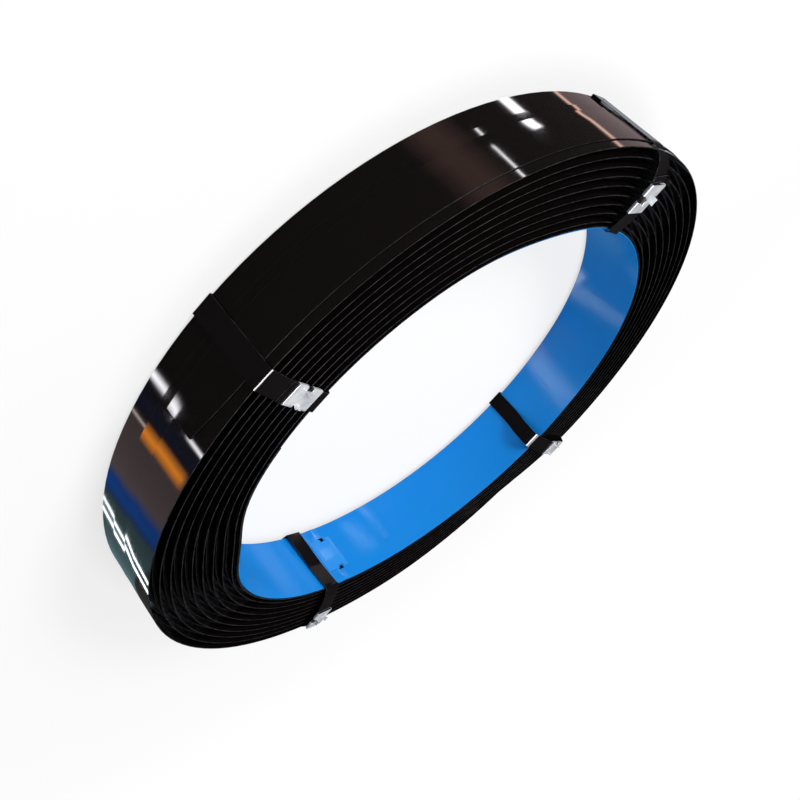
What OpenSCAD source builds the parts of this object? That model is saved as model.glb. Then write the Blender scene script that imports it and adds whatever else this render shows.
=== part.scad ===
// Coil of black steel strapping on a blue hoop, held by four sealed steel ties.
// The coil lies on its end: its axis is Z and the floor is at Z = 0.
// Angles are counted from +X, towards +Y.

/* [Winding] */
// Width of the strap that is wound up
strap_w = 32; // [25:0.5:36]
// Thickness of the strap
strap_t = 0.8; // [0.5:0.05:1.2]
// Air that is left between two turns
turn_air = 0.03; // [0.01:0.01:0.1]
// Number of turns, from the hoop to the loose end
turns = 79; // [60:1:95]
// Turns that the strap takes to wander from one end of the coil to the other and back
cycle_turns = 9; // [7:2:13]
// Width of the whole coil, over which the strap wanders
face_w = 63.5; // [55:0.5:75]
// Angle at which the last turn ends
tail_angle = 92; // [84:1:150]

/* [Hoop] */
// Clear diameter of the bore, inside the hoop
bore_d = 406; // [380:1:430]
// Thickness of the hoop's sheet
hoop_t = 0.7; // [0.5:0.05:1]
// Width of the hoop
hoop_w = 61.5; // [50:0.5:62]
// How far the hoop's edge lies under the coil's upper end
hoop_drop = 0.3; // [0.1:0.1:1]
// Gap between the hoop and the first turn
hoop_gap = 0.05; // [0.02:0.01:0.15]

/* [Hoop seal] */
// Gap between the second tie and the seal that closes the hoop
hoop_seal_off = 1.2; // [0.5:0.1:4]
// Length of the hoop's seal along the hoop, beside the second tie
hoop_seal_l = 25; // [20:1:40]
// Width of the hoop's seal across the hoop
hoop_seal_w = 35; // [30:1:48]
// Thickness of the hoop's seal
hoop_seal_t = 0.6; // [0.4:0.05:0.7]

/* [Ties] */
// Width of a tie
tie_w = 16; // [12:0.5:18]
// Thickness of a tie
tie_t = 0.5; // [0.4:0.05:0.6]
// Gap between a tie and the coil that it holds
tie_gap = 0.08; // [0.04:0.01:0.15]
// Angle of the first tie, beside the loose end
tie_1_angle = 79.5; // [70:0.5:81]
// Angle of the second tie, beside the hoop's seal
tie_2_angle = -173; // [-178:0.5:-170]
// Angle of the third tie
tie_3_angle = -96.4; // [-110:0.2:-90]
// Angle of the fourth tie
tie_4_angle = 5; // [-5:0.5:10]
// How far the first tie stands off the coil's upper end
tie_1_lift = 1.3; // [1:0.1:3]
// How far the second tie stands off the coil's upper end
tie_2_lift = 6.5; // [3:0.5:10]
// How far the third tie stands off the coil's upper end
tie_3_lift = 7.5; // [3:0.5:12]
// How far the fourth tie stands off the coil's upper end
tie_4_lift = 9.5; // [3:0.5:12]

/* [Tie seals] */
// Length of a seal along its tie
seal_l = 26; // [24:1:30]
// Thickness of a seal's sheet
seal_t = 0.7; // [0.5:0.05:0.8]
// Side play between a tie and its seal
seal_play = 0.25; // [0.1:0.05:0.4]
// Width of each of the two legs that are folded under the tie
seal_leg = 6; // [4:0.5:7]
// Length of the notch that is bitten out of each edge
notch_l = 6; // [3:0.5:8]
// Depth of a notch
notch_d = 3; // [2:0.25:4]
// Height of the tab that is turned up beside a notch
tab_h = 2.2; // [1:0.1:3]
// How far the cut end of a tie sticks out of its seal
lap_spare = 7; // [3:0.5:9]

/* [Hidden] */
$fn = 180;

bore_r = bore_d / 2;
pitch = strap_t + turn_air;
coil_r_in = bore_r + hoop_t + hoop_gap;
coil_r_out = coil_r_in + turns * pitch;
last_r = coil_r_out - pitch;

// The coil stands on the strands of its ties, which pass under it.
coil_z = tie_t + tie_gap;
coil_top = coil_z + face_w;

// The strap's wander: how far a turn lies back from the upper end, in steps of one turn.
wander = face_w - strap_w;
wander_steps = floor(cycle_turns / 2);
wander_step = wander / wander_steps;
function cycle_place(turn) = (turns - 2 - turn + 20 * cycle_turns) % cycle_turns;
function even_steps(turn) = min(cycle_place(turn), cycle_turns - cycle_place(turn), wander_steps);
// The first turn is flush with the upper end. The last sweep from the lower end up to the next to
// last turn, which is flush too, is quick, so both outer rims reach the full size.
sweep_turns = 2;
sweep_end = turns - 2;
function steps_back(turn) =
    turn < sweep_turns ? ceil(wander_steps * turn / sweep_turns)
    : turn < sweep_end && turn >= sweep_end - sweep_turns
        ? ceil(wander_steps * (sweep_end - turn) / sweep_turns)
    : even_steps(turn);
function turn_top(turn) = coil_top - steps_back(turn) * wander_step;
function turn_r(turn) = coil_r_in + turn * pitch;

// Corners of one end's stair of turns, without the points that lie between equal steps.
function stair(count, drop) = [
    for (turn = [0 : count - 1])
        each concat(
            turn == 0 || turn_top(turn) != turn_top(turn - 1)
                ? [[turn_r(turn), turn_top(turn) - drop]] : [],
            turn == count - 1 || turn_top(turn) != turn_top(turn + 1)
                ? [[turn_r(turn + 1), turn_top(turn) - drop]] : [])];
function reversed(points) = [for (i = [len(points) - 1 : -1 : 0]) points[i]];

// The last turn is a spiral that rises from just above the turn under it to its cut end.
lap_facets = 180;
lap_start = 0.15 * pitch;
lap_bite = 0.4 * pitch;
lap_top = coil_top - wander_step;
function spiral_r(share) = last_r + lap_start + (pitch - lap_start) * share;
function polar(r, angle) = [r * cos(angle), r * sin(angle)];

// Inner faces of a tie's strands, as distances from the axis of the coil.
tie_in = sqrt(pow(bore_r, 2) - pow(tie_w / 2, 2)) - tie_gap;
tie_out = coil_r_out + tie_gap;
// A tie's lower bends are sharp. The higher its strand stands, the rounder its upper bends.
low_bend = 0.25;
function top_bend(lift) = lift + 0.5;

// Where each seal's middle lies along its tie, counted from the bore side, if its bend leaves room.
seal_place_1 = 21.5;
seal_place_2 = 46;
seal_place_3 = 34;
seal_place_4 = 33.5;
function seal_middle(place, lift) =
    min(tie_in + place, tie_out - top_bend(lift) - seal_l / 2 - 0.5);
seal_gap = 0.05;
seal_in_w = tie_w + 2 * seal_play;
seal_out_w = seal_in_w + 2 * seal_t;
// The lower end of a tie stops this far inside its seal.
lap_inset = 2;
// Distance from the end of the hoop's seal to the middle of its notches.
hoop_notch_in = 9;
function arc_angle(length) = length / bore_r * 180 / PI;

coil_colour = [0.05, 0.04, 0.045];
hoop_colour = [0.07, 0.38, 0.78];
tie_colour = [0.07, 0.065, 0.07];
seal_colour = [0.72, 0.74, 0.76];

// One turned body of all the turns but the last, stepped at both ends, and the last turn on it.
module strap_coil() {
    color(coil_colour)
    union() {
        rotate_extrude()
            polygon(concat(stair(turns - 1, 0), reversed(stair(turns - 1, strap_w))));
        last_turn();
    }
}

// The last turn: a spiral band, one step high at its cut end.
module last_turn() {
    translate([0, 0, lap_top - strap_w])
        difference() {
            linear_extrude(height = strap_w)
                polygon([for (i = [0 : lap_facets])
                    polar(spiral_r(i / lap_facets), tail_angle + 360 * i / lap_facets)]);
            translate([0, 0, -1])
                cylinder(h = strap_w + 2, r = last_r - lap_bite);
        }
}

// The blue hoop that the strap is wound on.
module core_hoop() {
    color(hoop_colour)
    translate([0, 0, coil_top - hoop_drop - hoop_w])
        difference() {
            cylinder(h = hoop_w, r = bore_r + hoop_t);
            translate([0, 0, -1])
                cylinder(h = hoop_w + 2, r = bore_r);
        }
}

// Plate that closes the hoop, with a notch in each edge.
module hoop_seal() {
    span = arc_angle(hoop_seal_l);
    start = tie_2_angle + arc_angle(tie_w / 2 + hoop_seal_off);
    middle_z = coil_top - hoop_drop - hoop_w / 2;
    color(hoop_colour)
    difference() {
        rotate([0, 0, start])
            rotate_extrude(angle = span)
                translate([bore_r - hoop_gap - hoop_seal_t, middle_z - hoop_seal_w / 2])
                    square([hoop_seal_t, hoop_seal_w]);
        for (side = [-1, 1])
            rotate([0, 0, start + arc_angle(hoop_seal_l - hoop_notch_in)])
                translate([bore_r - 3, -notch_l / 2, middle_z + side * hoop_seal_w / 2 - notch_d])
                    cube([4, notch_l, 2 * notch_d]);
    }
}

// Outline of one tie's loop round the section of the coil, grown outwards from its inner face.
module loop_outline(lift, grow) {
    bend = top_bend(lift);
    low = coil_z - tie_gap;
    top = coil_top + lift;
    width = tie_out - tie_in;
    translate([tie_in, 0]) {
        for (x = [low_bend, width - low_bend])
            translate([x, low + low_bend]) circle(r = low_bend + grow, $fn = 32);
        for (x = [bend, width - bend])
            translate([x, top - bend]) circle(r = bend + grow, $fn = 96);
        translate([low_bend, low - grow]) square([width - 2 * low_bend, top - low - bend + grow]);
        translate([-grow, low + low_bend]) square([width + 2 * grow, top - low - bend - low_bend]);
        translate([bend, low]) square([width - 2 * bend, top - low + grow]);
    }
}

// The two bites that the notches of a seal take out of whatever lies under it.
module notches(middle, low, high) {
    for (side = [-1, 1])
        translate([middle - notch_l / 2, side * seal_out_w / 2 - notch_d, low])
            cube([notch_l, 2 * notch_d, high - low]);
}

// A tie: one flat strap round the section, with its ends lapped and notched in the seal.
module tie_strap(angle, lift, place) {
    top = coil_top + lift;
    middle = seal_middle(place, lift);
    lap_from = middle - seal_l / 2 + lap_inset;
    lap_to = min(middle + seal_l / 2 + lap_spare, tie_out - top_bend(lift));
    color(tie_colour)
    rotate([0, 0, angle])
        difference() {
            translate([0, tie_w / 2, 0])
                rotate([90, 0, 0])
                    linear_extrude(height = tie_w)
                        difference() {
                            union() {
                                loop_outline(lift, tie_t);
                                translate([lap_from, top]) square([lap_to - lap_from, 2 * tie_t]);
                            }
                            loop_outline(lift, 0);
                        }
            notches(middle, top - 1, top + 2 * tie_t + 1);
        }
}

// A seal: a sheet folded round the lapped ends, with a notch and a raised tab on each edge.
module tie_seal(angle, lift, place) {
    middle = seal_middle(place, lift);
    low = coil_top + lift - seal_gap;
    high = coil_top + lift + 2 * tie_t + seal_gap;
    color(seal_colour)
    rotate([0, 0, angle]) {
        difference() {
            translate([middle - seal_l / 2, -seal_out_w / 2, low - seal_t])
                cube([seal_l, seal_out_w, high - low + 2 * seal_t]);
            translate([middle - seal_l / 2 - 1, -seal_in_w / 2, low])
                cube([seal_l + 2, seal_in_w, high - low]);
            translate([middle - seal_l / 2 - 1, seal_leg - seal_out_w / 2, low - seal_t - 1])
                cube([seal_l + 2, seal_out_w - 2 * seal_leg, seal_t + 2]);
            notches(middle, low - seal_t - 1, high + seal_t + 1);
        }
        for (side = [-1, 1])
            translate([middle - notch_l / 2, side * (seal_out_w / 2 - notch_d - seal_t / 2) - seal_t / 2, high])
                cube([notch_l, seal_t, seal_t + tab_h]);
    }
}

strap_coil();
core_hoop();
hoop_seal();
tie_strap(tie_1_angle, tie_1_lift, seal_place_1);  // tie_strap_1
tie_strap(tie_2_angle, tie_2_lift, seal_place_2);  // tie_strap_2
tie_strap(tie_3_angle, tie_3_lift, seal_place_3);  // tie_strap_3
tie_strap(tie_4_angle, tie_4_lift, seal_place_4);  // tie_strap_4
tie_seal(tie_1_angle, tie_1_lift, seal_place_1);  // tie_seal_1
tie_seal(tie_2_angle, tie_2_lift, seal_place_2);  // tie_seal_2
tie_seal(tie_3_angle, tie_3_lift, seal_place_3);  // tie_seal_3
tie_seal(tie_4_angle, tie_4_lift, seal_place_4);  // tie_seal_4
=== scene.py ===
"""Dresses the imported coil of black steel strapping: its wound strap, blue hoop, ties, seals and studio.

Lengths are in millimetres until a piece is placed, which turns them into metres. Angles are counted
from +X towards +Y, in degrees. The coil lies on its end, with its axis along Z.
"""

import sys

import logging
import math
import random
from collections.abc import Callable
from dataclasses import dataclass, field
from enum import Enum

import bpy
from mathutils import Matrix, Vector

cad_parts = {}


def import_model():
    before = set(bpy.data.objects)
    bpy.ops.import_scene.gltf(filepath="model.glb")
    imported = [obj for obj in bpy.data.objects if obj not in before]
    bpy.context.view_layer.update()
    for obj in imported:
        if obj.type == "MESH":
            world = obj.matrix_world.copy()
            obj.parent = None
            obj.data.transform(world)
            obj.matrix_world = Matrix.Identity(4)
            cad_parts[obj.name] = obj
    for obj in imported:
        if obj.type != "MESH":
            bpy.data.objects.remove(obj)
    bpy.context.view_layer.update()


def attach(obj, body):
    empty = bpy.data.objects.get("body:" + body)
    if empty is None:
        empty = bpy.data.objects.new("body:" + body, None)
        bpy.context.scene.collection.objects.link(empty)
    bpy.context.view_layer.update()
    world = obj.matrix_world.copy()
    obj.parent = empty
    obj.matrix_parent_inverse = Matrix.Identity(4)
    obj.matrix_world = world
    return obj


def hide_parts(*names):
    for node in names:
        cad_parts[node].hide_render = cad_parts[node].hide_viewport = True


LOG = logging.getLogger("strapping_coil")
MM = 0.001
FACE_Z = 64.08
COIL_Z = 0.58
MIDDLE_Z = 32.33
BORE_R = 203.0
COIL_IN_R = 203.75
COIL_OUT_R = 269.32
CAMERA_AT = Vector((268.02, 629.78, 308.26))

Colour = tuple[float, float, float]


class Slot(Enum):
    """The record's material slots."""

    STRAP = "black_strap"
    HOOP = "blue_hoop"
    TIE = "black_tie"
    SEAL = "bare_seal"


def smooth(share: float) -> float:
    """Returns an even ease from 0 to 1 for a share of the way."""
    share = min(max(share, 0.0), 1.0)
    return share * share * (3.0 - 2.0 * share)


def bump(angle: float, middle: float, width: float) -> float:
    """Returns a bell of height 1 round an angle, in degrees."""
    away = (angle - middle + 180.0) % 360.0 - 180.0
    return math.exp(-((away / width) ** 2))


def round_place(radius: float, angle: float, height: float) -> Vector:
    """Returns the place at a distance from the axis, an angle in degrees and a height."""
    turned = math.radians(angle)
    return Vector((radius * math.cos(turned), radius * math.sin(turned), height))


def out_of_round(angle: float) -> float:
    """Returns how far the bore of the real ring stands out of a true circle, in millimetres."""
    return (-7.0 * bump(angle, 123.5, 13.0) + 1.9 * bump(angle, 172.0, 24.0)
            - 2.2 * bump(angle, 62.0, 42.0) - 2.6 * bump(angle, 24.0, 13.0) + 1.9 * bump(angle, -50.0, 32.0)
            + 1.2 * bump(angle, -4.0, 20.0))


class Nodes:
    """Builds one procedural material, node by node."""

    def __init__(self, name: str) -> None:
        """Starts an empty node material.

        Args:
            name: The material's name.
        """
        self.material = bpy.data.materials.new(name)
        self.material.use_nodes = True
        self.tree = self.material.node_tree
        self.tree.nodes.clear()
        self.output = self.tree.nodes.new("ShaderNodeOutputMaterial")

    def add(self, kind: str, **values: object) -> bpy.types.Node:
        """Adds a node and sets its properties or its sockets by name.

        Args:
            kind: The node's type name.
            **values: Properties of the node, or input sockets with underscores for spaces.

        Returns:
            The new node.
        """
        node = self.tree.nodes.new(kind)
        for key, value in values.items():
            if hasattr(node, key):
                setattr(node, key, value)
            else:
                node.inputs[key.replace("_", " ")].default_value = value
        return node

    def link(self, source: bpy.types.NodeSocket, target: bpy.types.NodeSocket) -> None:
        """Joins two sockets."""
        self.tree.links.new(source, target)

    def noise(self, vector: bpy.types.NodeSocket, scale: float, detail: float,
              rough: float) -> bpy.types.NodeSocket:
        """Adds a noise texture on given coordinates.

        Args:
            vector: The coordinates.
            scale: The pattern's scale.
            detail: Its octaves.
            rough: Their weight.

        Returns:
            The noise's value.
        """
        node = self.add("ShaderNodeTexNoise", Scale=scale, Detail=detail, Roughness=rough)
        self.link(vector, node.inputs["Vector"])
        return node.outputs["Fac"]

    def span(self, source: bpy.types.NodeSocket, low: float, high: float, start: float,
             end: float) -> bpy.types.NodeSocket:
        """Maps a value from one range on to another.

        Args:
            source: The value.
            low: The value that gives `start`.
            high: The value that gives `end`.
            start: The lower end of the new range.
            end: The upper end of the new range.

        Returns:
            The mapped value.
        """
        node = self.add("ShaderNodeMapRange")
        for socket, number in (("From Min", low), ("From Max", high), ("To Min", start), ("To Max", end)):
            node.inputs[socket].default_value = number
        self.link(source, node.inputs["Value"])
        return node.outputs["Result"]

    def ramp(self, source: bpy.types.NodeSocket, stops: list[tuple[float, Colour]]) -> bpy.types.NodeSocket:
        """Adds a colour ramp on a value.

        Args:
            source: The value that picks the colour.
            stops: Positions and colours, from low to high.

        Returns:
            The colour.
        """
        node = self.add("ShaderNodeValToRGB")
        while len(node.color_ramp.elements) < len(stops):
            node.color_ramp.elements.new(0.5)
        for element, (place, colour) in zip(node.color_ramp.elements, stops):
            element.position = place
            element.color = (*colour, 1.0)
        self.link(source, node.inputs["Fac"])
        return node.outputs["Color"]

    def relief(self, height: bpy.types.NodeSocket, strength: float, depth: float) -> bpy.types.NodeSocket:
        """Adds fine relief from a height.

        Args:
            height: The height's value.
            strength: The bump's strength.
            depth: The bump's depth in metres.

        Returns:
            The bent normal.
        """
        node = self.add("ShaderNodeBump", Strength=strength, Distance=depth)
        self.link(height, node.inputs["Height"])
        return node.outputs["Normal"]


@dataclass(frozen=True)
class Lacquer:
    """Gloss paint on sheet steel, with fine rolling lines along the sheet, faint smears and lighter flecks:
    rubbed paint, and on the strap's cut edges partly painted highlight.
    """

    name: str
    colour: Colour
    fleck_colour: Colour
    roughness: tuple[float, float]
    fleck_share: float
    lines: tuple[float, float, float]
    depth: float
    gloss: float = 0.5

    def material(self) -> bpy.types.Material:
        """Builds the paint, whose rolling lines follow the sheet's own UV map.

        Returns:
            The finished material.
        """
        kit = Nodes(self.name)
        place = kit.add("ShaderNodeTexCoord")
        stretch = kit.add("ShaderNodeMapping")
        stretch.inputs["Scale"].default_value = self.lines
        kit.link(place.outputs["UV"], stretch.inputs["Vector"])
        lines = kit.noise(stretch.outputs["Vector"], 1.0, 4.0, 0.6)
        smears = kit.noise(place.outputs["Object"], 9.0, 5.0, 0.62)
        flecks = kit.noise(place.outputs["Object"], 230.0, 3.0, 0.7)
        shader = kit.add("ShaderNodeBsdfPrincipled", Specular_IOR_Level=self.gloss)
        tint = kit.ramp(flecks, [(0.0, self.colour), (1.0 - self.fleck_share, self.colour),
                                 (1.0 - 0.5 * self.fleck_share, self.fleck_colour)])
        kit.link(tint, shader.inputs["Base Color"])
        kit.link(kit.span(smears, 0.3, 0.72, *self.roughness), shader.inputs["Roughness"])
        kit.link(kit.relief(lines, self.depth, 0.0003), shader.inputs["Normal"])
        kit.link(shader.outputs["BSDF"], kit.output.inputs["Surface"])
        return kit.material


@dataclass(frozen=True)
class BareSheet:
    """Zinc-coated sheet steel: cloudy, finely scratched and dimpled by the crimping tool."""

    name: str
    light: Colour
    dark: Colour
    roughness: tuple[float, float]
    metal: float

    def material(self) -> bpy.types.Material:
        """Builds the bare metal on object coordinates.

        Returns:
            The finished material.
        """
        kit = Nodes(self.name)
        place = kit.add("ShaderNodeTexCoord")
        clouds = kit.noise(place.outputs["Object"], 170.0, 4.0, 0.6)
        scratches = kit.noise(place.outputs["Object"], 1300.0, 2.0, 0.5)
        shader = kit.add("ShaderNodeBsdfPrincipled", Metallic=self.metal)
        kit.link(kit.ramp(clouds, [(0.32, self.dark), (0.6, self.light)]), shader.inputs["Base Color"])
        kit.link(kit.span(scratches, 0.0, 1.0, *self.roughness), shader.inputs["Roughness"])
        kit.link(kit.relief(clouds, 0.3, 0.0004), shader.inputs["Normal"])
        kit.link(shader.outputs["BSDF"], kit.output.inputs["Surface"])
        return kit.material


@dataclass
class Finishes:
    """Every finish of the object, built once."""

    strap: bpy.types.Material = field(init=False)
    strap_edge_painted_glint: bpy.types.Material = field(init=False)
    hoop: bpy.types.Material = field(init=False)
    plate: bpy.types.Material = field(init=False)
    tie: bpy.types.Material = field(init=False)
    tie_edge: bpy.types.Material = field(init=False)
    seal: bpy.types.Material = field(init=False)

    def __post_init__(self) -> None:
        """Builds the materials."""
        self.strap = Lacquer("black_lacquer", (0.0042, 0.003, 0.003), (0.009, 0.008, 0.009),
                             (0.03, 0.09), 0.3, (900.0, 160.0, 1.0), 0.004).material()
        # The strap's cut edges: their lighter flecks are partly rubbed bare steel and partly painted
        # highlight, standing in for the light that the edges catch along the rows of the end faces.
        self.strap_edge_painted_glint = Lacquer("strap_edge_painted_glint", (0.006, 0.006, 0.007), (0.04, 0.04, 0.045),
                                  (0.3, 0.5), 0.6, (900.0, 160.0, 1.0), 0.1, 0.1).material()
        self.hoop = Lacquer("blue_paint", (0.006, 0.235, 0.68), (0.011, 0.26, 0.73),
                            (0.12, 0.22), 0.3, (14.0, 30.0, 1.0), 0.02, 0.35).material()
        # The closing plate takes a lighter copy of the hoop's blue: the extra lightness is painted sheen on
        # the raised plate.
        self.plate = Lacquer("blue_plate_painted_sheen", (0.02, 0.28, 0.76), (0.06, 0.32, 0.82),
                             (0.16, 0.28), 0.4, (3.0, 30.0, 1.0), 0.05).material()
        self.tie = Lacquer("tie_lacquer", (0.0042, 0.0034, 0.0038), (0.015, 0.014, 0.016),
                           (0.06, 0.13), 0.34, (6.0, 60.0, 1.0), 0.02).material()
        self.tie_edge = Lacquer("tie_edge", (0.015, 0.015, 0.017), (0.12, 0.12, 0.13),
                                (0.25, 0.4), 0.6, (6.0, 60.0, 1.0), 0.08, 0.3).material()
        self.seal = BareSheet("zinc_sheet", (0.84, 0.86, 0.88), (0.6, 0.63, 0.67),
                              (0.25, 0.42), 0.35).material()


class Bench:
    """Workbench calls on one mesh, made with Blender's own operators."""

    @staticmethod
    def clear() -> None:
        """Leaves edit mode and deselects everything."""
        if bpy.context.object and bpy.context.object.mode != "OBJECT":
            bpy.ops.object.mode_set(mode="OBJECT")
        bpy.ops.object.select_all(action="DESELECT")

    @staticmethod
    def take(piece: bpy.types.Object) -> None:
        """Selects one piece alone and makes it the active one."""
        Bench.clear()
        piece.select_set(True)
        bpy.context.view_layer.objects.active = piece

    @staticmethod
    def sheet(name: str, cells_long: int, cells_wide: int,
              materials: list[bpy.types.Material]) -> bpy.types.Object:
        """Adds a flat sheet, one unit long and wide, cut into cells.

        Args:
            name: The piece's name.
            cells_long: Cells along X.
            cells_wide: Cells along Y.
            materials: The face's material and the cut edges' one.

        Returns:
            The new piece, selected.
        """
        Bench.clear()
        bpy.ops.mesh.primitive_grid_add(x_subdivisions=cells_long, y_subdivisions=cells_wide, size=1.0)
        piece = bpy.context.object
        piece.name = name
        piece.data.name = name
        for material in materials:
            piece.data.materials.append(material)
        return piece

    @staticmethod
    def pick_faces(piece: bpy.types.Object, wanted: Callable[[Vector], bool]) -> None:
        """Opens edit mode with only the faces whose middles are wanted selected.

        Args:
            piece: The piece to work on.
            wanted: Says from a face's middle whether it is picked.
        """
        Bench.take(piece)
        bpy.ops.object.mode_set(mode="EDIT")
        bpy.ops.mesh.select_mode(type="FACE")
        bpy.ops.mesh.select_all(action="DESELECT")
        bpy.ops.object.mode_set(mode="OBJECT")
        for polygon in piece.data.polygons:
            polygon.select = wanted(polygon.center)
        bpy.ops.object.mode_set(mode="EDIT")

    @staticmethod
    def pick_edges(piece: bpy.types.Object, wanted: Callable[[Vector, Vector], bool]) -> None:
        """Opens edit mode with only the wanted edges selected.

        Args:
            piece: The piece to work on.
            wanted: Says from an edge's two ends whether it is picked.
        """
        Bench.take(piece)
        bpy.ops.object.mode_set(mode="EDIT")
        bpy.ops.mesh.select_mode(type="EDGE")
        bpy.ops.mesh.select_all(action="DESELECT")
        bpy.ops.object.mode_set(mode="OBJECT")
        points = piece.data.vertices
        for edge in piece.data.edges:
            edge.select = wanted(points[edge.vertices[0]].co, points[edge.vertices[1]].co)
        bpy.ops.object.mode_set(mode="EDIT")

    @staticmethod
    def shape(piece: bpy.types.Object, move: Callable[[Vector], Vector]) -> None:
        """Bends a flat sheet into its real shape by moving every vertex.

        Args:
            piece: The flat piece.
            move: Gives a vertex's new place, in metres, from its place on the flat sheet.
        """
        Bench.clear()
        for vertex in piece.data.vertices:
            vertex.co = move(vertex.co.copy())
        piece.data.update()

    @staticmethod
    def apply(piece: bpy.types.Object, kind: str, **values: object) -> None:
        """Adds a modifier and applies it.

        Args:
            piece: The piece to work on.
            kind: The modifier's type.
            **values: Its settings.
        """
        Bench.take(piece)
        modifier = piece.modifiers.new(kind.title(), kind)
        for key, value in values.items():
            setattr(modifier, key, value)
        bpy.ops.object.modifier_apply(modifier=modifier.name)

    @staticmethod
    def thicken(piece: bpy.types.Object, thickness: float, edge: float, offset: float = -1.0) -> None:
        """Gives a bent sheet its thickness and eases its edges.

        Args:
            piece: The bent sheet.
            thickness: Sheet thickness in millimetres.
            edge: Width of the eased edge in millimetres.
            offset: Solidify's offset: -1 grows the thickness against the faces' normals.
        """
        Bench.apply(piece, "SOLIDIFY", thickness=thickness * MM, offset=offset, use_even_offset=False,
                    use_rim=True, material_offset_rim=1)
        Bench.apply(piece, "BEVEL", width=edge * MM, segments=1, limit_method="ANGLE",
                    angle_limit=math.radians(50.0), material=1)
        Bench.take(piece)
        bpy.ops.object.shade_smooth_by_angle(angle=math.radians(32.0))

    @staticmethod
    def finish(piece: bpy.types.Object, slot: Slot, node: str) -> None:
        """Lets a finished piece stand for a solid.

        Args:
            piece: The finished piece.
            slot: The record's material slot; not used.
            node: The CAD node that it replaces.
        """
        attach(piece, "root")
        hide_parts(node)
        heights = [vertex.co.z / MM for vertex in piece.data.vertices]
        LOG.info("%s: %d faces, z %.2f to %.2f mm", piece.name, len(piece.data.polygons), min(heights),
                 max(heights))


@dataclass
class WoundStrap:
    """The strap: one continuous flat band, wound in a spiral that wanders from end to end."""

    width: float = 32.0
    thickness: float = 0.8
    turns: int = 79
    tail_angle: float = 92.0
    steps_per_turn: int = 128
    cycle: int = 9
    wander_step: float = 7.875
    shift_angle: float = 240.0
    shift_width: float = 60.0
    levels: dict[int, float] = field(default_factory=dict)

    def __post_init__(self) -> None:
        """Sets how far each turn lies below the upper end, with the small unevenness of real winding."""
        chance = random.Random(7)
        special = {-2: 0, -1: 0, 0: 0, 1: 2, self.turns - 4: 4, self.turns - 3: 2}
        for turn in range(-2, self.turns + 2):
            place = (self.turns - 2 - turn) % self.cycle
            steps = special.get(turn, min(place, self.cycle - place, 4))
            uneven = chance.uniform(-0.45, 0.45) if steps % 4 else chance.uniform(0.0, 0.3)
            low = 31.5 - (steps == 4) * abs(uneven)
            self.levels[turn] = min(max(steps * self.wander_step + uneven, 0.0), low)

    def level(self, wound: float) -> float:
        """Returns how far below the upper end the strap's near edge lies, in millimetres.

        Args:
            wound: Turns wound so far.
        """
        since = wound - (self.shift_angle - self.tail_angle) / 360.0
        turn = math.floor(since)
        share = since - turn
        half = self.shift_width / 720.0
        low, high, ease = turn, turn, 0.0
        if share < half:
            low, high, ease = turn - 1, turn, 0.5 + share / (2.0 * half)
        elif share > 1.0 - half:
            low, high, ease = turn, turn + 1, (share - 1.0 + half) / (2.0 * half)
        low, high = (min(max(t, -2), self.turns - 1) for t in (low, high))
        return self.levels[low] + (self.levels[high] - self.levels[low]) * smooth(ease)

    def place(self, flat: Vector) -> Vector:
        """Winds one point of the flat strap on to the coil.

        Args:
            flat: The point on the unit sheet: X along the strap, Y across it.

        Returns:
            The point's place on the outer side of its turn, in metres.
        """
        wound = (flat.x + 0.5) * self.turns
        across = (0.5 - flat.y) * self.width
        angle = (self.tail_angle + 360.0 * wound) % 360.0
        first = COIL_IN_R + 0.82
        share = wound / self.turns
        radius = first + (COIL_OUT_R - first) * share + out_of_round(angle) * (1.0 - share)
        level = self.level(wound)
        left = (self.turns - wound) * 360.0
        depth = level + across
        if 360.0 < left < 360.0 * 4.3:
            bare = smooth((4.3 - left / 360.0) / 0.3) * smooth((depth - 18.0) / 18.0)
            radius += 0.66 * (left / 360.0 - 1.0) * bare
        if left < 345.0:
            radius -= max(across - (self.width - self.wander_step) + 0.6, 0.0) * 0.02
        if left < 14.0:
            end = 1.0 - left / 14.0
            across += 6.0 * end**2.2 * smooth(1.0 - across / self.width)
            radius += 0.03 * end
        return round_place(radius, self.tail_angle + 360.0 * wound, FACE_Z - level - across) * MM

    def build(self, finishes: Finishes) -> None:
        """Makes the strap flat, winds it and dresses it.

        Args:
            finishes: The object's finishes.
        """
        strap = Bench.sheet("wound_strap", self.turns * self.steps_per_turn, 1,
                            [finishes.strap, finishes.strap_edge_painted_glint])
        outer = 0.5 - 1.75 / self.turns
        Bench.pick_edges(strap, lambda a, b: min(a.x, b.x) > outer and abs(a.x - b.x) < 1e-7)
        bpy.ops.mesh.subdivide(number_cuts=7)
        bpy.ops.object.mode_set(mode="OBJECT")
        Bench.shape(strap, self.place)
        Bench.thicken(strap, self.thickness, 0.1)
        Bench.finish(strap, Slot.STRAP, "strap_coil")


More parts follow.
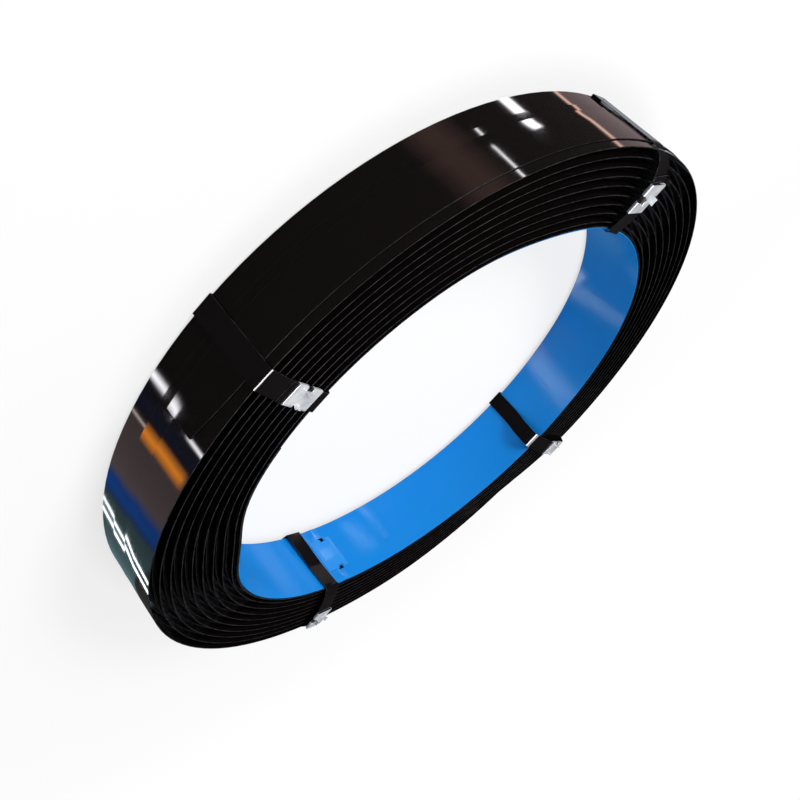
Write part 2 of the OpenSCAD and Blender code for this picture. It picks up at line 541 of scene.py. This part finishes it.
@dataclass
class CoreHoop:
    """The blue hoop inside the coil and the notched plate that closes it."""

    width: float = 61.5
    thickness: float = 0.65
    top: float = FACE_Z - 0.3
    seal_start: float = -170.4
    seal_length: float = 25.0
    seal_width: float = 35.0
    seal_thickness: float = 0.6
    notch_in: float = 9.0
    notch_half: float = 2.6
    notch_depth: float = 3.2

    @property
    def notch_angle(self) -> float:
        """Returns the angle of the plate's two notches."""
        return self.seal_start + math.degrees((self.seal_length - self.notch_in) / BORE_R)

    def hoop_place(self, flat: Vector) -> Vector:
        """Bends one point of the flat hoop round the bore, a little uneven as thin sheet is.

        Args:
            flat: The point on the unit sheet.

        Returns:
            The point's place on the inside of the hoop, in metres.
        """
        angle = -165.3 + 360.0 * (flat.x + 0.5)
        across = (flat.y + 0.5) * self.width
        radius = BORE_R + out_of_round(angle)
        radius += 0.12 * math.sin(math.radians(7.0 * angle + 1.5 * across))
        radius += 0.07 * math.sin(math.radians(19.0 * angle - 2.0 * across))
        for edge in (0.0, self.width):
            crease = math.exp(-(((across - edge) / 7.0) ** 2)) * bump(angle, self.notch_angle - 1.2, 1.1)
            radius -= 0.7 * crease
        hidden = 0.9 * bump(angle, 75.0, 62.0)
        return round_place(radius, angle, self.top - hidden - across * (1.0 - hidden / self.width)) * MM

    def notched(self, middle: Vector) -> bool:
        """Says whether a face of the unit sheet lies in one of the notches that go through the hoop.

        Args:
            middle: The face's middle on the unit sheet.
        """
        angle = -165.3 + 360.0 * (middle.x + 0.5)
        along = math.radians((angle - self.notch_angle + 180.0) % 360.0 - 180.0) * BORE_R
        from_edge = 0.5 * self.seal_width - abs(middle.y * self.width)
        return abs(along) < self.notch_half and -0.6 < from_edge < self.notch_depth

    def build_hoop(self, finishes: Finishes) -> None:
        """Makes the hoop.

        Args:
            finishes: The object's finishes.
        """
        hoop = Bench.sheet("blue_hoop", 720, 41, [finishes.hoop, finishes.hoop])
        Bench.pick_faces(hoop, self.notched)
        bpy.ops.mesh.delete(type="FACE")
        Bench.shape(hoop, self.hoop_place)
        Bench.thicken(hoop, self.thickness, 0.12)
        Bench.finish(hoop, Slot.HOOP, "core_hoop")

    def seal_place(self, flat: Vector) -> Vector:
        """Bends one point of the flat closing plate on to the hoop.

        Args:
            flat: The point on the plate in millimetres, X along the hoop, Y across it, Z off it.

        Returns:
            The point's place on the plate's inner face, in metres.
        """
        along = flat.x + 0.5 * self.seal_length
        angle = self.seal_start + math.degrees(along / BORE_R)
        end = smooth((abs(flat.x) - 0.5 * self.seal_length + 4.0) / 4.0)
        crown = 0.55 * (1.0 - end) * smooth(1.2 - abs(flat.y) / (0.5 * self.seal_width))
        radius = BORE_R + out_of_round(angle) - 0.1 - self.seal_thickness - flat.z - crown
        return round_place(radius, angle, MIDDLE_Z + 0.7 - flat.y) * MM

    def build_seal(self, finishes: Finishes) -> None:
        """Makes the plate that closes the hoop, with its two notches and turned tabs.

        Args:
            finishes: The object's finishes.
        """
        plate = Bench.sheet("hoop_plate", 50, 70, [finishes.plate, finishes.plate])
        middle = 0.5 * self.seal_length - self.notch_in
        side = 0.5 * self.seal_width - self.notch_depth
        Bench.shape(plate, lambda p: Vector((p.x * self.seal_length, p.y * self.seal_width, 0.0)))
        for way in (-1.0, 1.0):
            Bench.pick_faces(plate, lambda p: abs(p.x - middle) < self.notch_half and p.y * way > side)
            bpy.ops.mesh.split()
            bpy.ops.transform.rotate(value=way * math.radians(64.0), orient_axis="X",
                                     center_override=(middle, way * side, 0.0))
        bpy.ops.object.mode_set(mode="OBJECT")
        Bench.shape(plate, self.seal_place)
        Bench.thicken(plate, self.seal_thickness, 0.12)
        Bench.finish(plate, Slot.HOOP, "hoop_seal")


@dataclass(frozen=True)
class Knot:
    """A corner of a tie's way round the coil: distance from the axis, height, angle and bend radius."""

    r: float
    z: float
    angle: float
    bend: float = 0.0


@dataclass(frozen=True)
class Station:
    """One place along a tie, with its directions along and across the strap."""

    at: Vector
    along: Vector
    across: Vector

    @property
    def radius(self) -> float:
        """Returns the station's distance from the axis."""
        return math.hypot(self.at.x, self.at.y)


@dataclass
class Tie:
    """One tie: a flat strap once round the coil's section, its ends lapped inside a seal."""

    number: int
    knots: tuple[Knot, ...]
    seal_middle: float
    tab_side: float = 1.0
    seal_length: float = 26.0
    width: float = 16.0
    thickness: float = 0.5
    stations: list[Station] = field(default_factory=list)

    def __post_init__(self) -> None:
        """Lays out the stations along the way."""
        route = self.route()
        places = [round_place(point.x, point.z, point.y) for point in route]
        for index, (here, point) in enumerate(zip(places, route)):
            before = places[max(index - 1, 0)]
            after = places[min(index + 1, len(places) - 1)]
            along = (after - before).normalized()
            turned = math.radians(point.z)
            across = Vector((-math.sin(turned), math.cos(turned), 0.0))
            across = (across - along * across.dot(along)).normalized()
            self.stations.append(Station(here, along, across))

    def route(self) -> list[Vector]:
        """Rounds the corners of the tie's way and fills in its straight runs.

        Returns:
            Points along the tie's middle line: r, z and angle.
        """
        bends: list[list[Vector]] = []
        knots = [Vector((k.r, k.z, k.angle)) for k in self.knots]
        for index, knot in enumerate(knots):
            if index in (0, len(knots) - 1):
                bends.append([knot])
                continue
            before, after = knots[index - 1], knots[index + 1]
            arriving = Vector((knot.x - before.x, knot.y - before.y))
            leaving = Vector((after.x - knot.x, after.y - knot.y))
            turn = arriving.angle(leaving)
            reach = max(self.knots[index].bend * math.tan(turn / 2.0), 0.2)
            reach = min(reach, 0.49 * arriving.length, 0.49 * leaving.length)
            start = knot + (before - knot) * (reach / arriving.length)
            end = knot + (after - knot) * (reach / leaving.length)
            count = max(4, int(math.degrees(turn) / 6.0))
            bends.append([start * (1 - s) ** 2 + knot * 2 * s * (1 - s) + end * s**2
                          for s in (step / count for step in range(count + 1))])
        points = bends[0]
        for bend in bends[1:]:
            gap = bend[0] - points[-1]
            fill = max(1, int(math.hypot(gap.x, gap.y) / 2.5))
            points = points + [points[-1] + gap * (step / fill) for step in range(1, fill)] + bend
        return points

    def build_strap(self, finishes: Finishes) -> None:
        """Makes the tie's strap.

        Args:
            finishes: The object's finishes.
        """
        stations = self.stations
        strap = Bench.sheet(f"tie_{self.number}", len(stations) - 1, 4, [finishes.tie, finishes.tie_edge])

        def lay(flat: Vector) -> Vector:
            station = stations[round((flat.x + 0.5) * (len(stations) - 1))]
            place = station.at + station.across * (flat.y * self.width)
            place.z = max(place.z, COIL_Z - 0.33)
            return place * MM

        Bench.shape(strap, lay)
        Bench.thicken(strap, self.thickness, 0.07, offset=0.0)
        Bench.finish(strap, Slot.TIE, f"tie_strap_{self.number}")

    def seat(self) -> Matrix:
        """Returns the seal's seat: X along the tie, Y across it, Z away from the coil, in millimetres."""
        for one, two in zip(self.stations, self.stations[1:]):
            if one.radius >= self.seal_middle >= two.radius:
                share = (one.radius - self.seal_middle) / max(one.radius - two.radius, 1e-6)
                break
        here = one.at.lerp(two.at, share)
        along, across = one.along, one.across
        up = across.cross(along).normalized()
        if up.z < 0:
            up = -up
        across = up.cross(along).normalized()
        return Matrix((
            (along.x, across.x, up.x, here.x),
            (along.y, across.y, up.y, here.y),
            (along.z, across.z, up.z, here.z),
            (0.0, 0.0, 0.0, 1.0),
        ))

    def fold(self, across: float) -> tuple[float, float, float]:
        """Folds the flat seal's width round the two layers of strap.

        Args:
            across: Distance from the seal's middle line on the flat sheet.

        Returns:
            Place across, height, and the turn of the sheet in radians.
        """
        half, wall, bend = 0.5 * self.width + 0.45, 0.7, 0.75
        side = 1.0 if across >= 0 else -1.0
        run = abs(across)
        flat = half - bend
        arc = bend * math.pi / 2.0
        if run <= flat:
            return across, 0.0, 0.0
        run -= flat
        if run <= arc:
            turn = run / bend
            return side * (flat + bend * math.sin(turn)), bend * (math.cos(turn) - 1.0), side * turn
        run -= arc
        if run <= wall:
            return side * half, -bend - run, side * math.pi / 2.0
        run -= wall
        if run <= arc:
            turn = run / bend
            return (side * (half - bend + bend * math.cos(turn)), -bend - wall - bend * math.sin(turn),
                    side * (math.pi / 2.0 + turn))
        run -= arc
        return side * (half - bend - run), -2.0 * bend - wall, side * math.pi

    def build_seal(self, finishes: Finishes) -> None:
        """Makes the seal: a sheet with a notch in each edge and a turned-up tab, folded round the tie.

        Args:
            finishes: The object's finishes.
        """
        long, wide = self.seal_length, 33.0
        seal = Bench.sheet(f"seal_{self.number}", 52, 66, [finishes.seal, finishes.seal])
        Bench.shape(seal, lambda p: Vector((p.x * long, p.y * wide, 0.0)))
        inner = 0.5 * self.width + 0.45 - 3.0
        Bench.pick_faces(seal, lambda p: abs(p.x) < 3.0 and inner + 3.4 < abs(p.y) < inner + 7.5)
        bpy.ops.mesh.delete(type="FACE")
        for side in (-1.0, 1.0):
            Bench.pick_faces(seal, lambda p: abs(p.x) < 3.0 and inner < p.y * side < inner + 3.5)
            bpy.ops.mesh.split()
            turn = 62.0 if side == self.tab_side else 96.0
            bpy.ops.transform.rotate(value=-side * math.radians(turn), orient_axis="X",
                                     center_override=(0.0, side * inner, 0.0))
        bpy.ops.object.mode_set(mode="OBJECT")
        seat = self.seat()
        rise = 0.5 * self.thickness + 0.32

        def crimp(flat: Vector) -> Vector:
            across, height, turn = self.fold(flat.y)
            flatness = 1.0 if abs(turn) < 0.1 else 0.0
            swell = math.sin(math.pi * min(max((flat.x + 0.5 * long - 3.0) / (long - 4.0), 0.0), 1.0))
            crown = 0.55 * swell * flatness * (1.0 - (flat.y / 9.0) ** 2)
            pinch = 0.5 * math.exp(-((flat.x / 2.2) ** 2)) * flatness * (abs(flat.y) / 7.0) ** 2
            lift = flat.z + crown - pinch
            local = Vector((flat.x, across + math.sin(turn) * lift, height + rise + math.cos(turn) * lift))
            return (seat @ local) * MM

        Bench.shape(seal, crimp)
        Bench.thicken(seal, 0.6, 0.1, offset=0.0)
        Bench.finish(seal, Slot.SEAL, f"tie_seal_{self.number}")


def make_ties() -> list[Tie]:
    """Gives the four ties their ways round the coil, each from its cut end to its hidden end.

    Returns:
        The ties.
    """
    out, inn, low, top = COIL_OUT_R + 0.33, BORE_R - 0.9, COIL_Z - 0.33, FACE_Z
    lap = 0.55
    near = inn + out_of_round(80.4)
    first = Tie(1, (
        Knot(245.5, top + 1.3 + lap, 79.9),
        Knot(near + 4.0, top + 1.6 + lap, 80.3, 4.0),
        Knot(near, top - 0.5, 80.4, 1.4),
        Knot(near, low, 80.4, 0.6),
        Knot(out - 14.0, low, 79.2, 10.0),
        Knot(out, low, 79.2, 0.6),
        Knot(out, top + 0.6, 79.2, 2.6),
        Knot(250.0, top + 1.3, 79.7, 30.0),
        Knot(212.0, top + 1.3, 80.2),
    ), 226.0, tab_side=-1.0)
    second = Tie(2, (
        Knot(262.5, top + 5.6 + lap, -171.0),
        Knot(240.0, top + 6.9 + lap, -171.3, 40.0),
        Knot(212.0, top + 4.2 + lap, -172.6, 30.0),
        Knot(inn - 0.5, top + 1.5, -173.4, 1.8),
        Knot(inn - 0.3, 40.0, -173.8, 40.0),
        Knot(inn - 2.6, 2.5, -174.2, 0.8),
        Knot(inn + 6.0, low, -174.2, 0.8),
        Knot(out - 14.0, low, -171.6, 10.0),
        Knot(out, low, -171.6, 0.6),
        Knot(out, top - 2.0, -171.4, 5.0),
        Knot(258.0, top + 6.2, -171.0, 20.0),
        Knot(238.0, top + 6.9, -171.4),
    ), 248.6, tab_side=-1.0)
    third = Tie(3, (
        Knot(251.0, top + 7.8 + lap, -96.2),
        Knot(222.0, top + 8.8 + lap, -96.3, 30.0),
        Knot(inn - 9.0, top - 1.0 + lap, -96.4, 7.0),
        Knot(inn - 7.0, top - 20.0, -96.4, 20.0),
        Knot(inn - 0.5, 28.0, -96.4, 30.0),
        Knot(inn, low, -96.4, 0.6),
        Knot(out, low, -96.4, 0.6),
        Knot(out, top - 1.0, -96.3, 5.0),
        Knot(258.0, top + 7.0, -96.2, 20.0),
        Knot(226.0, top + 8.2, -96.3),
    ), 236.3)
    fourth = Tie(4, (
        Knot(254.7, top + 8.2 + lap, 5.8),
        Knot(240.0, top + 8.5 + lap, 5.0, 40.0),
        Knot(216.0, top + 4.6 + lap, 3.7, 30.0),
        Knot(inn - 0.3, top + 1.0, 3.0, 2.2),
        Knot(inn, low, 3.0, 0.6),
        Knot(out - 16.0, low, 7.0, 10.0),
        Knot(out, low, 7.0, 0.6),
        Knot(out, top - 6.0, 6.9, 16.0),
        Knot(265.0, top + 4.5, 6.6, 14.0),
        Knot(252.0, top + 8.4, 5.7, 30.0),
        Knot(227.0, top + 7.2, 4.3),
    ), 236.3, tab_side=-1.0)
    return [first, second, third, fourth]


@dataclass(frozen=True)
class Card:
    """A strip light, placed where the lacquer mirrors it to the camera.

    Its four corners are the mirrored corners of a patch on the coil's outer side or on the hoop.
    """

    name: str
    angles: tuple[float, float]
    heights: tuple[float, float]
    colour: Colour
    strength: float
    slant: float = 0.0
    radius: float = COIL_OUT_R
    inward: bool = False
    away: float = 1500.0
    soft: float = 0.5

    def corner(self, angle: float, height: float) -> Vector:
        """Returns where the camera's ray goes after the patch's corner has mirrored it.

        Args:
            angle: The corner's angle.
            height: Its height over the coil's middle.
        """
        place = round_place(self.radius, angle, MIDDLE_Z + height)
        normal = round_place(-1.0 if self.inward else 1.0, angle, 0.0)
        to_camera = (CAMERA_AT - place).normalized()
        mirrored = 2.0 * normal.dot(to_camera) * normal - to_camera
        return (place + mirrored * self.away) * MM

    def build(self) -> None:
        """Makes the card from a plane, seen only in gloss."""
        Bench.clear()
        bpy.ops.mesh.primitive_plane_add(size=1.0)
        card = bpy.context.object
        card.name = self.name
        low, high = self.heights
        first, last = self.angles
        for vertex in card.data.vertices:
            angle = first if vertex.co.x < 0 else last
            height = low if vertex.co.y < 0 else high
            if vertex.co.y > 0:
                angle += self.slant
            vertex.co = self.corner(angle, height)
        kit = Nodes(self.name)
        glow = kit.add("ShaderNodeEmission", Strength=self.strength)
        glow.inputs["Color"].default_value = (*self.colour, 1.0)
        clear = kit.add("ShaderNodeBsdfTransparent")
        place = kit.add("ShaderNodeTexCoord")
        split = kit.add("ShaderNodeSeparateXYZ")
        kit.link(place.outputs["UV"], split.inputs["Vector"])
        black, white = (0.0, 0.0, 0.0), (1.0, 1.0, 1.0)
        fade = kit.ramp(split.outputs["X"], [(0.0, black), (self.soft, white), (1.0 - self.soft, white),
                                             (1.0, black)])
        mix = kit.add("ShaderNodeMixShader")
        kit.link(fade, mix.inputs["Fac"])
        kit.link(clear.outputs["BSDF"], mix.inputs[1])
        kit.link(glow.outputs["Emission"], mix.inputs[2])
        kit.link(mix.outputs["Shader"], kit.output.inputs["Surface"])
        card.data.materials.append(kit.material)
        card.visible_camera = False
        card.visible_diffuse = False
        card.visible_shadow = False
        card.visible_transmission = False


@dataclass
class Studio:
    """Camera, floor, lamps and the cards that the gloss mirrors."""

    focal: float = 40.07
    cards: tuple[Card, ...] = (
        Card("card_wide", (28.7, 31.1), (-60.0, -2.0), (1.0, 0.96, 1.0), 20.0, soft=0.35),
        Card("card_thin", (37.9, 38.5), (-2.0, 60.0), (1.0, 0.97, 1.0), 20.0, slant=0.4),
        Card("card_warm", (18.4, 20.0), (-60.0, 60.0), (1.0, 0.62, 0.5), 4.0, soft=0.45),
        Card("card_mauve", (10.0, 19.2), (-60.0, 60.0), (0.66, 0.5, 0.5), 0.7, soft=0.1),
        Card("card_pale", (-2.0, 8.5), (-60.0, 60.0), (0.75, 0.78, 0.86), 0.8, soft=0.2),
        Card("card_brown", (39.0, 48.0), (-60.0, 60.0), (1.0, 0.6, 0.5), 0.55, soft=0.4),
        Card("card_tail", (89.7, 91.5), (-60.0, -3.0), (0.97, 0.95, 1.0), 22.0, away=1400.0),
        Card("card_rim", (91.6, 92.6), (16.0, 60.0), (0.97, 0.95, 1.0), 18.0, away=1400.0),
        Card("card_night", (91.8, 96.6), (-60.0, 40.0), (0.3, 0.45, 1.0), 0.2),
        Card("card_glint", (96.5, 97.2), (-60.0, -4.0), (1.0, 0.85, 0.8), 6.0, away=1300.0),
        Card("card_amber", (95.4, 98.8), (-6.0, 30.0), (1.0, 0.3, 0.02), 9.0, away=1300.0),
        Card("card_dusk", (96.4, 109.4), (-60.0, 60.0), (1.0, 0.76, 0.76), 0.5, slant=-1.5, soft=0.08,
             away=1700.0),
        Card("card_cool", (107.6, 113.8), (-60.0, 60.0), (0.03, 0.22, 1.0), 1.1, slant=-3.0, soft=0.35,
             away=1480.0),
        Card("card_line_a", (112.2, 113.3), (-60.0, 60.0), (0.9, 0.97, 1.0), 14.0, slant=8.0, away=1200.0),
        Card("card_line_b", (114.7, 115.9), (-60.0, 60.0), (0.9, 0.97, 1.0), 14.0, slant=8.0, away=1200.0),
        Card("card_teal", (112.0, 150.0), (-60.0, 60.0), (0.35, 0.62, 0.68), 0.36, slant=-3.0, soft=0.08,
             away=2400.0),
        Card("card_hoop", (-81.8, -78.8), (-33.0, 33.0), (0.75, 0.84, 1.0), 30.0, slant=-1.4,
             radius=BORE_R, inward=True, away=250.0),
        Card("card_hoop_b", (-155.6, -153.6), (-25.0, 12.0), (0.75, 0.84, 1.0), 12.0, slant=1.0,
             radius=BORE_R, inward=True, away=250.0),
        Card("card_plate", (-168.4, -165.0), (-14.0, 8.0), (0.9, 0.94, 1.0), 20.0, slant=1.0,
             radius=BORE_R, inward=True, away=250.0),
    )

    def camera(self) -> None:
        """Puts the camera at the photograph's viewing angle."""
        right = Vector((0.57890, -0.54522, 0.60630)).normalized()
        ahead = Vector((-0.37652, -0.83829, -0.39434)).normalized()
        up = right.cross(ahead).normalized()
        data = bpy.data.cameras.new("camera")
        data.lens = self.focal
        data.sensor_width = 36.0
        data.clip_start = 0.01
        camera = bpy.data.objects.new("camera", data)
        bpy.context.scene.collection.objects.link(camera)
        turn = Matrix((right, up, -ahead)).transposed().to_4x4()
        camera.matrix_world = Matrix.Translation(CAMERA_AT * MM) @ turn
        bpy.context.scene.camera = camera

    def floor(self) -> None:
        """Lays the pale floor: it keeps the coil's shadow and turns white away from it."""
        Bench.clear()
        bpy.ops.mesh.primitive_plane_add(size=60.0, location=(0.0, 0.0, -0.0005))
        floor = bpy.context.object
        floor.name = "floor"
        kit = Nodes("pale_floor")
        base = kit.add("ShaderNodeBsdfDiffuse")
        base.inputs["Color"].default_value = (0.9, 0.9, 0.9, 1.0)
        glow = kit.add("ShaderNodeEmission", Strength=1.0)
        place = kit.add("ShaderNodeTexCoord")
        away = kit.add("ShaderNodeVectorMath", operation="LENGTH")
        kit.link(place.outputs["Object"], away.inputs[0])
        share = kit.add("ShaderNodeMath", operation="MULTIPLY")
        paths = kit.add("ShaderNodeLightPath")
        kit.link(paths.outputs["Is Camera Ray"], share.inputs[0])
        kit.link(kit.span(away.outputs["Value"], 0.3, 0.75, 0.7, 1.0), share.inputs[1])
        mix = kit.add("ShaderNodeMixShader")
        kit.link(share.outputs["Value"], mix.inputs["Fac"])
        kit.link(base.outputs["BSDF"], mix.inputs[1])
        kit.link(glow.outputs["Emission"], mix.inputs[2])
        kit.link(mix.outputs["Shader"], kit.output.inputs["Surface"])
        floor.data.materials.append(kit.material)
        floor.visible_glossy = False

    def world(self) -> None:
        """Lights the object evenly and shows a white backdrop to the camera.

        The gloss mirrors a dim room, since the photograph's lacquer mirrors a dark one.
        """
        world = bpy.data.worlds.new("studio")
        bpy.context.scene.world = world
        world.use_nodes = True
        tree = world.node_tree
        tree.nodes.clear()
        output = tree.nodes.new("ShaderNodeOutputWorld")
        back = tree.nodes.new("ShaderNodeBackground")
        paths = tree.nodes.new("ShaderNodeLightPath")
        room = tree.nodes.new("ShaderNodeMixRGB")
        room.inputs[1].default_value = (0.3, 0.3, 0.31, 1.0)
        room.inputs[2].default_value = (0.05, 0.044, 0.044, 1.0)
        tree.links.new(paths.outputs["Is Glossy Ray"], room.inputs["Fac"])
        seen = tree.nodes.new("ShaderNodeMixRGB")
        seen.inputs[2].default_value = (1.0, 1.0, 1.0, 1.0)
        tree.links.new(paths.outputs["Is Camera Ray"], seen.inputs["Fac"])
        tree.links.new(room.outputs["Color"], seen.inputs[1])
        tree.links.new(seen.outputs["Color"], back.inputs["Color"])
        tree.links.new(back.outputs["Background"], output.inputs["Surface"])

    def lamp(self, name: str, place: Colour, size: float, power: float, matt: bool = True) -> None:
        """Adds one soft lamp that points at the coil.

        Args:
            name: The lamp's name.
            place: Where it stands, in metres.
            size: Its side in metres.
            power: Its power in watts.
            matt: Whether it also lights matt surfaces, and not only gloss.
        """
        data = bpy.data.lights.new(name, "AREA")
        data.size = size
        data.energy = power
        lamp = bpy.data.objects.new(name, data)
        bpy.context.scene.collection.objects.link(lamp)
        lamp.location = place
        lamp.rotation_euler = (-Vector(place)).to_track_quat("-Z", "Y").to_euler()
        lamp.visible_camera = False
        lamp.visible_diffuse = matt

    def build(self) -> None:
        """Sets up the whole studio."""
        self.camera()
        self.floor()
        self.world()
        self.lamp("key", (1.6, 0.4, 1.1), 0.7, 30.0)
        self.lamp("top", (-0.3, -0.2, 2.0), 0.8, 16.0)
        self.lamp("ceiling", (-0.17, 0.55, 1.15), 0.6, 34.0, matt=False)
        for card in self.cards:
            card.build()
        bpy.context.scene.view_settings.view_transform = "Standard"


def main() -> None:
    """Builds the dressed coil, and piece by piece."""
    logging.basicConfig(level=logging.INFO, format="%(message)s", stream=sys.stdout)
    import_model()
    finishes = Finishes()
    WoundStrap().build(finishes)
    hoop = CoreHoop()
    hoop.build_hoop(finishes)
    hoop.build_seal(finishes)
    for tie in make_ties():
        tie.build_strap(finishes)
        tie.build_seal(finishes)
    Studio().build()


if __name__ == "__main__":
    main()
